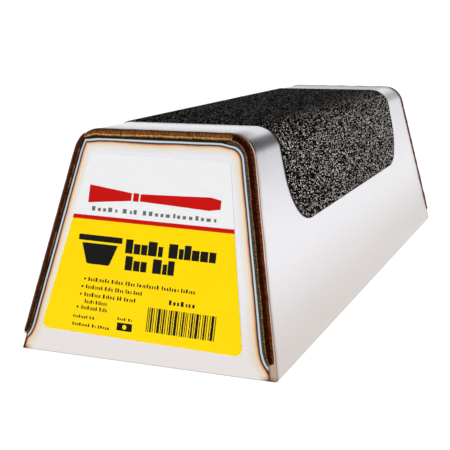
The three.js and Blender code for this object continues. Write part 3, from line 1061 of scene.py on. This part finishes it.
GRAIN_TREE, GRAIN_SOCKETS = grain_tree()
GRAIN_MINERAL = grit_tone("mineral_grains", [
    (0.3, linear(14, 11, 8)),
    (0.52, linear(30, 24, 19)),
    (0.67, linear(118, 108, 100)),
    (0.78, linear(255, 252, 248)),
], 0.8, 0.5)
GRAIN_SEAT = GRAIN_TOP - GRAIN_LARGE * 1.25
GRAIN_MARGIN = COAT_MARGIN + 0.25

grain_x, grain_distance = pad_grid(GRAIN_MARGIN, COAT_STEP)
grain_rows = grain_x.shape[0]
strip_edges = np.searchsorted(grain_distance[:, 0], [-PAD_HALF_WIDTH / 3, PAD_HALF_WIDTH / 3])
STRIPS = {
    "left": (0, strip_edges[0]),
    "middle": (strip_edges[0], strip_edges[1]),
    "right": (strip_edges[1], grain_rows - 1),
}
for strip, (first, last) in STRIPS.items():
    patch = wrap(grain_x[first:last + 1], grain_distance[first:last + 1], GRAIN_SEAT)
    seat_faces = grid_faces(*patch.shape[:2], flip=True)
    mesh = bpy.data.meshes.new(f"grain_seat_{strip}")
    mesh.from_pydata((patch.reshape(-1, 3) * MM).tolist(), [], seat_faces.tolist())
    source = new_object(mesh.name, mesh)
    add_modifier(source, GRAIN_TREE, GRAIN_SOCKETS, {
        "Density": GRAIN_DENSITY / MM ** 2,
        "Smallest": GRAIN_SMALL * MM,
        "Largest": GRAIN_LARGE * MM,
        "Seed": GRAIN_SEED,
        "Material": GRAIN_MINERAL,
    })
    grains = evaluated_piece(source, f"grip_grains_{strip}")
    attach(grains, "root")


# Label: a thin vinyl film with round corners, stuck on the near end. Its lower part is printed
# yellow under a red stripe, and the printing on it is plain blocks and simple pictures.
LABEL_BOTTOM = 8.2
LABEL_TOP = 78
LABEL_BOTTOM_WIDTH = 84.6
LABEL_TOP_WIDTH = 58.4
LABEL_CORNER = 2.6
LABEL_OFFSET = 2.1
LABEL_TURN = math.radians(-1.25)
LABEL_BASE = 0.05
LABEL_FACE = 0.15
INK_LAYER = 0.012
INK_GAP = 0.002
STRIPE_BOTTOM = 52.1
STRIPE_TOP = 53.7


def label_half_width(height):
    """Half the label's width at a height up it."""
    share = (height - LABEL_BOTTOM) / (LABEL_TOP - LABEL_BOTTOM)
    return (LABEL_BOTTOM_WIDTH + (LABEL_TOP_WIDTH - LABEL_BOTTOM_WIDTH) * share) / 2


def on_label(points, height):
    """Label points (right, up the slope) as points of the pan, at a height over the plate."""
    right, up = np.asarray(points, float).T
    middle = (LABEL_BOTTOM + LABEL_TOP) / 2
    turned_right = right * math.cos(LABEL_TURN) - (up - middle) * math.sin(LABEL_TURN) - LABEL_OFFSET
    turned_up = middle + right * math.sin(LABEL_TURN) + (up - middle) * math.cos(LABEL_TURN)
    x = -RIM_LENGTH / 2 + turned_up * math.sin(END_ANGLE) - height * math.cos(END_ANGLE)
    z = turned_up * math.cos(END_ANGLE) + height * math.sin(END_ANGLE)
    return np.stack([x, -turned_right, z], axis=1)


def prisms(outlines, base, top):
    """Closed prisms over flat outlines on the label, as one list of points and faces."""
    points, faces = [], []
    start = 0
    for outline in outlines:
        count = len(outline)
        points += [on_label(outline, base), on_label(outline, top)]
        low = list(range(start, start + count))
        high = [index + count for index in low]
        faces += [low[::-1], high]
        faces += [(low[k], low[(k + 1) % count], high[(k + 1) % count], high[k]) for k in range(count)]
        start += 2 * count
    return np.concatenate(points), faces


def rounded(corners, radius, steps=6):
    """A polygon's points with each corner turned round at its radius (0 keeps it sharp)."""
    corners = [Vector(corner) for corner in corners]
    radii = radius if isinstance(radius, (list, tuple)) else [radius] * len(corners)
    result = []
    for index, (corner, size) in enumerate(zip(corners, radii)):
        if size == 0:
            result.append(tuple(corner))
            continue
        back = (corners[index - 1] - corner).normalized()
        ahead = (corners[(index + 1) % len(corners)] - corner).normalized()
        half = math.acos(max(-1, min(1, back.dot(ahead)))) / 2
        centre = corner + (back + ahead).normalized() * (size / math.sin(half))
        first = corner + back * (size / math.tan(half)) - centre
        sweep = math.pi - 2 * half
        if back.x * ahead.y - back.y * ahead.x > 0:
            sweep = -sweep
        for step in range(steps + 1):
            turned = first.copy()
            turned.rotate(Matrix.Rotation(sweep * step / steps, 2))
            result.append(tuple(centre + turned))
    return result


def block(left, bottom, right, top, radius=0.0):
    """A rectangle's outline, with round corners where it has a radius."""
    corners = [(left, bottom), (right, bottom), (right, top), (left, top)]
    return rounded(corners, radius, 4) if radius else corners


def printed(name, colour, mottle=0.04, roughness=0.42):
    """Ink on vinyl: one colour with a slight mottle and an eggshell gloss."""
    material, tree, shader = simple_material(name, colour, roughness, 0.1)
    cloud = noise_value(tree, 90.0, 3.0)
    dim = tuple(c * (1 - mottle) for c in colour[:3]) + (1,)
    tree.links.new(colour_ramp(tree, cloud, [(0.35, dim), (0.65, colour)]), shader.inputs["Base Color"])
    grain = noise_value(tree, 1800.0, 2.0)
    tree.links.new(maths(tree, "MULTIPLY_ADD", grain, 0.12, roughness - 0.06), shader.inputs["Roughness"])
    roughen(tree, shader, grain, 0.1, 0.00002)
    return material


def label_piece(name, outlines, layer, material):
    """One colour of the label as closed prisms on the film, stacked by layer."""
    base = LABEL_FACE + (layer - 1) * INK_LAYER
    piece = new_piece(name, *prisms(outlines, base + INK_GAP, base + INK_LAYER), material)
    piece.data.shade_flat()
    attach(piece, "root")
    return piece


film_corners = [
    (-LABEL_BOTTOM_WIDTH / 2, LABEL_BOTTOM),
    (LABEL_BOTTOM_WIDTH / 2, LABEL_BOTTOM),
    (LABEL_TOP_WIDTH / 2, LABEL_TOP),
    (-LABEL_TOP_WIDTH / 2, LABEL_TOP),
]
label = new_piece(
    "label_film", *prisms([rounded(film_corners, LABEL_CORNER)], LABEL_BASE, LABEL_FACE),
    printed("label_white", linear(233, 234, 236), 0.01),
)
label.data.shade_flat()
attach(label, "root")
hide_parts("end_label")

EDGE = 0.03


def band(low, high, low_edge=0.0):
    """A band across the label between two heights, just inside the edges of the film."""
    low_half = label_half_width(low) - EDGE
    high_half = label_half_width(high) - EDGE
    low += low_edge
    return [(-low_half, low), (low_half, low), (high_half, high), (-high_half, high)]


field = band(LABEL_BOTTOM, STRIPE_BOTTOM, EDGE)
stripe = band(STRIPE_BOTTOM, STRIPE_TOP)
label_piece(
    "label_field", [rounded(field, [LABEL_CORNER - EDGE, LABEL_CORNER - EDGE, 0, 0])], 1,
    printed("label_yellow", linear(250, 214, 0), 0.03),
)

# Red printing: the stripe, and a taping knife in plain outline along the top of the label. The
# knife has a blade, a ferrule and a handle.
knife_blade = [(-28, 58.6), (-9.5, 60.6), (-9.5, 63.6), (-28, 65.6)]
knife_ferrule = block(-8.8, 60.5, -6.4, 63.7)
knife_handle = [
    (-5.8, 60.7), (8, 60.2), (23, 59.6), (27.4, 60.4),
    (27.4, 63.8), (23, 64.6), (8, 64.0), (-5.8, 63.5),
]
label_piece(
    "label_red", [stripe, knife_blade, knife_ferrule, knife_handle], 2,
    printed("label_red_ink", linear(196, 14, 10), 0.05),
)

# Block words: rows of plain blocks stand where the label's words are, each row with its own
# blocks per word. The tallest blocks are as high as a capital, the others two thirds of it.
HEADING_INK = 0.88
SMALL_INK = 0.55
SPACE_SHARE = 0.7
LOW_BLOCK = 0.72
TALL_EVERY = 4
BLOCK_WIDTHS = [1.15, 1.0, 0.95, 1.35, 0.7, 1.0, 1.1]


def block_words(left, right, bottom, height, words, ink=SMALL_INK):
    """A row of block words that fills the width from left to right; ink is each block's share."""
    widths = [[BLOCK_WIDTHS[(3 * index + letter) % len(BLOCK_WIDTHS)] for letter in range(letters)]
              for index, letters in enumerate(words)]
    unit = (right - left) / (sum(map(sum, widths)) + SPACE_SHARE * (len(words) - 1))
    blocks = []
    at = left
    for index, word in enumerate(widths):
        for letter, width in enumerate(word):
            tall = letter == 0 or (letter + index) % TALL_EVERY == 3
            top = bottom + height * (1 if tall else LOW_BLOCK)
            blocks.append(block(at, bottom, at + unit * width * ink, top))
            at += unit * width
        at += unit * SPACE_SHARE
    return blocks


label_piece(
    "label_grey", block_words(-26, 27, 55.6, 1.7, [5, 3, 13]), 2,
    printed("label_grey_ink", linear(104, 104, 108), 0.05),
)

# Black printing: a pan in outline, two heading rows, small rows with round marks, two short
# rows, a small plate with its row, and a block of bars.
pan_rim = block(-30.2, 43.9, -11.2, 46.2, 0.4)
pan_side = rounded([(-25.6, 35.0), (-15.8, 35.0), (-12.9, 43.0), (-28.5, 43.0)], [1.2, 1.2, 0, 0], 4)
heading = (
    block_words(-9.6, 28.2, 40.6, 5.4, [5, 6], HEADING_INK)
    + block_words(-9.0, 12.0, 34.2, 5.4, [3, 3], HEADING_INK)
)
small_rows = (
    block_words(-23.9, 21.5, 28.4, 1.5, [9, 5, 4, 9, 7, 6])
    + block_words(-24.6, -0.1, 25.4, 1.5, [8, 4, 4, 3, 4])
    + block_words(-24.9, -2.4, 22.4, 1.5, [7, 5, 2, 5])
    + block_words(-24.4, -14.4, 19.7, 1.5, [5, 6])
    + block_words(-25.6, -14.1, 17.3, 1.5, [8, 4])
)
short_rows = block_words(-28.6, -19.2, 13.8, 1.2, [8, 3]) + block_words(-28.7, -12.1, 10.8, 1.2, [8, 2, 5])
code_row = block_words(11.1, 22.3, 23.3, 1.8, [7])
plate_row = block_words(-9.5, -3.1, 15.1, 1.0, [4, 2])
small_plate = block(-9.4, 11.2, -3.0, 14.2, 0.3)


def disc(right, up, radius, steps=10):
    """A round outline."""
    turns = [2 * math.pi * k / steps for k in range(steps)]
    return [(right + radius * math.cos(turn), up + radius * math.sin(turn)) for turn in turns]


MARK_RADIUS = 0.45
MARK_PLACES = [(-25.4, 29.1), (-26.2, 26.1), (-26.5, 23.1), (-27.3, 18.0)]
round_marks = [disc(*place, MARK_RADIUS) for place in MARK_PLACES]
BAR_LEFT = 2.8
BAR_BOTTOM = 12.3
BAR_TOP = 21.4
BAR_UNIT = 0.42
BAR_INK = 0.85
BAR_SPREAD = 0.86
BAR_WIDTHS = [1, 1, 2, 1, 1, 3, 1, 2, 1, 1, 2, 1, 3, 1, 1, 2, 1, 1, 1, 2, 1, 3, 1, 1, 2, 1, 1, 3, 1]
BAR_SPACES = [1, 1, 1, 2, 1, 1, 1, 1, 2, 1, 1, 1, 1, 2, 1, 1, 1, 2, 1, 1, 1, 1, 2, 1, 1, 2, 1, 1, 0]
bars = []
bar_at = BAR_LEFT
for bar_width, bar_space in zip(BAR_WIDTHS, BAR_SPACES):
    bars.append(block(bar_at, BAR_BOTTOM, bar_at + bar_width * BAR_UNIT * BAR_INK, BAR_TOP))
    bar_at += (bar_width + bar_space) * BAR_UNIT * BAR_SPREAD
black = [pan_rim, pan_side, *heading, *small_rows, *short_rows, *code_row, *plate_row, small_plate]
label_piece(
    "label_black", black + round_marks + bars, 2, printed("label_black_ink", linear(16, 15, 14), 0.1),
)
label_piece(
    "label_plate_mark", [disc(-6.2, 12.7, 0.9)], 3, printed("label_mark_ink", linear(255, 220, 0), 0.03),
)


# Stage: a pale floor under the rim, and a bright soft sky with a few broad darker patches that
# the steel shows as smooth bands. The floor lights matt pieces more than the steel's reflection
# of it shows (FLOOR_BOUNCE), and the sky lights them less (SKY_FILL).
FLOOR_RADIUS = 4.0
FLOOR_SIDES = 64
FLOOR_DROP = 0.2
FLOOR_GLOW = 0.88
FLOOR_BOUNCE = 1.5
FLOOR_LIT_SHARE = 0.85
BACKDROP = (1.1, 1.1, 1.1, 1)
floor_ring = [(x, y, -FLOOR_DROP * MM) for x, y in disc(0, 0, FLOOR_RADIUS, FLOOR_SIDES)]
floor_mesh = bpy.data.meshes.new("floor")
floor_mesh.from_pydata(floor_ring, [], [list(range(FLOOR_SIDES))])
floor = new_object("floor", floor_mesh)
floor_material, floor_tree, floor_shader = simple_material("floor_paper", (0.8, 0.795, 0.785, 1), 0.9, 0.0)
floor_shader.inputs["Emission Color"].default_value = (1.0, 0.995, 0.985, 1)
floor_path = floor_tree.nodes.new("ShaderNodeLightPath").outputs
floor_glow = maths(floor_tree, "MULTIPLY_ADD", floor_path["Is Diffuse Ray"], FLOOR_BOUNCE, FLOOR_GLOW)
floor_tree.links.new(floor_glow, floor_shader.inputs["Emission Strength"])
lit_paper = add_node(floor_tree, "ShaderNodeEmission", {"Color": BACKDROP})
paper = add_node(floor_tree, "ShaderNodeMixShader", {
    0: maths(floor_tree, "MULTIPLY", floor_path["Is Camera Ray"], FLOOR_LIT_SHARE),
    1: floor_shader.outputs[0],
    2: lit_paper.outputs[0],
})
floor_tree.links.new(paper.outputs[0], floor_tree.nodes["Material Output"].inputs["Surface"])
floor_mesh.materials.append(floor_material)

SKY = (1.02, 1.02, 1.03, 1)
SKY_FILL = (0.14, 0.14, 0.14, 1)
PATCHES = [
    {"toward": (0, 0, 1), "inner": 20, "outer": 85, "shade": (0.62, 0.62, 0.63, 1)},
    {"toward": (0.87, -0.31, 0.36), "inner": 11, "outer": 18, "shade": (0.02, 0.015, 0.015, 1)},
    {"toward": (0.88, -0.3, 0.33), "inner": 12, "outer": 27, "shade": (0.9, 0.9, 0.91, 1)},
    {"toward": (0.968, 0.225, 0.06), "inner": 1, "outer": 9, "shade": (0.32, 0.32, 0.32, 1)},
    {"toward": (0.912, -0.406, 0.05), "inner": 2, "outer": 11, "shade": (0.5, 0.5, 0.5, 1)},
]
world = bpy.data.worlds.new("soft_sky")
bpy.context.scene.world = world
world.use_nodes = True
sky = world.node_tree
direction = sky.nodes.new("ShaderNodeTexCoord").outputs["Generated"]
tone = SKY
for patch in PATCHES:
    aim = Vector(patch["toward"]).normalized()
    closeness = add_node(sky, "ShaderNodeVectorMath", {0: direction, 1: aim}, operation="DOT_PRODUCT")
    mask = add_node(sky, "ShaderNodeMapRange", {
        "Value": closeness.outputs["Value"],
        "From Min": math.cos(math.radians(patch["outer"])),
        "From Max": math.cos(math.radians(patch["inner"])),
    }, interpolation_type="SMOOTHSTEP").outputs["Result"]
    tone = mix_colour(sky, mask, tone, patch["shade"], "MULTIPLY")
path = sky.nodes.new("ShaderNodeLightPath").outputs
tone = mix_colour(sky, path["Is Diffuse Ray"], tone, mix_colour(sky, 1.0, tone, SKY_FILL, "MULTIPLY"))
tone = mix_colour(sky, path["Is Camera Ray"], tone, BACKDROP)
sky.links.new(tone, sky.nodes["Background"].inputs["Color"])

LIGHTS = [
    {"name": "side_softbox", "place": (-0.1, -1.5, 0.05), "size": 0.06, "power": 1},
    {"name": "end_softbox", "place": (-1.5, 0.1, 0.05), "size": 0.06, "power": 2},
]
LIGHTS_AIM = Vector((0, 0, 0.04))
for light in LIGHTS:
    data = bpy.data.lights.new(light["name"], "AREA")
    data.shape = "DISK"
    data.size = light["size"]
    data.energy = light["power"]
    lamp = new_object(light["name"], data)
    lamp.location = light["place"]
    lamp.visible_glossy = False
    lamp.rotation_euler = (LIGHTS_AIM - lamp.location).to_track_quat("-Z", "Y").to_euler()
bpy.context.scene.view_settings.view_transform = "Standard"

# Camera: a long lens looking at the -Y corner of the labelled end from a little above the pan,
# rolled by half a degree.
CAMERA_AZIMUTH = math.radians(-68.04)
CAMERA_ELEVATION = math.radians(12.2)
CAMERA_ROLL = math.radians(-0.53)
CAMERA_TARGET = Vector((-8.476, 24.162, 22.244)) * MM
CAMERA_DISTANCE = 489.78 * MM
CAMERA_LENS = 75.84
back = Vector((
    math.sin(CAMERA_AZIMUTH) * math.cos(CAMERA_ELEVATION),
    -math.cos(CAMERA_AZIMUTH) * math.cos(CAMERA_ELEVATION),
    math.sin(CAMERA_ELEVATION),
))
level = (-back).cross(Vector((0, 0, 1))).normalized()
upright = level.cross(-back)
right = level * math.cos(CAMERA_ROLL) + upright * math.sin(CAMERA_ROLL)
up = upright * math.cos(CAMERA_ROLL) - level * math.sin(CAMERA_ROLL)
camera_data = bpy.data.cameras.new("camera")
camera_data.lens = CAMERA_LENS
camera_data.clip_start = 0.01
camera = new_object("camera", camera_data)
camera.matrix_world = Matrix((right, up, back)).transposed().to_4x4()
camera.location = CAMERA_TARGET + back * CAMERA_DISTANCE
bpy.context.scene.camera = camera
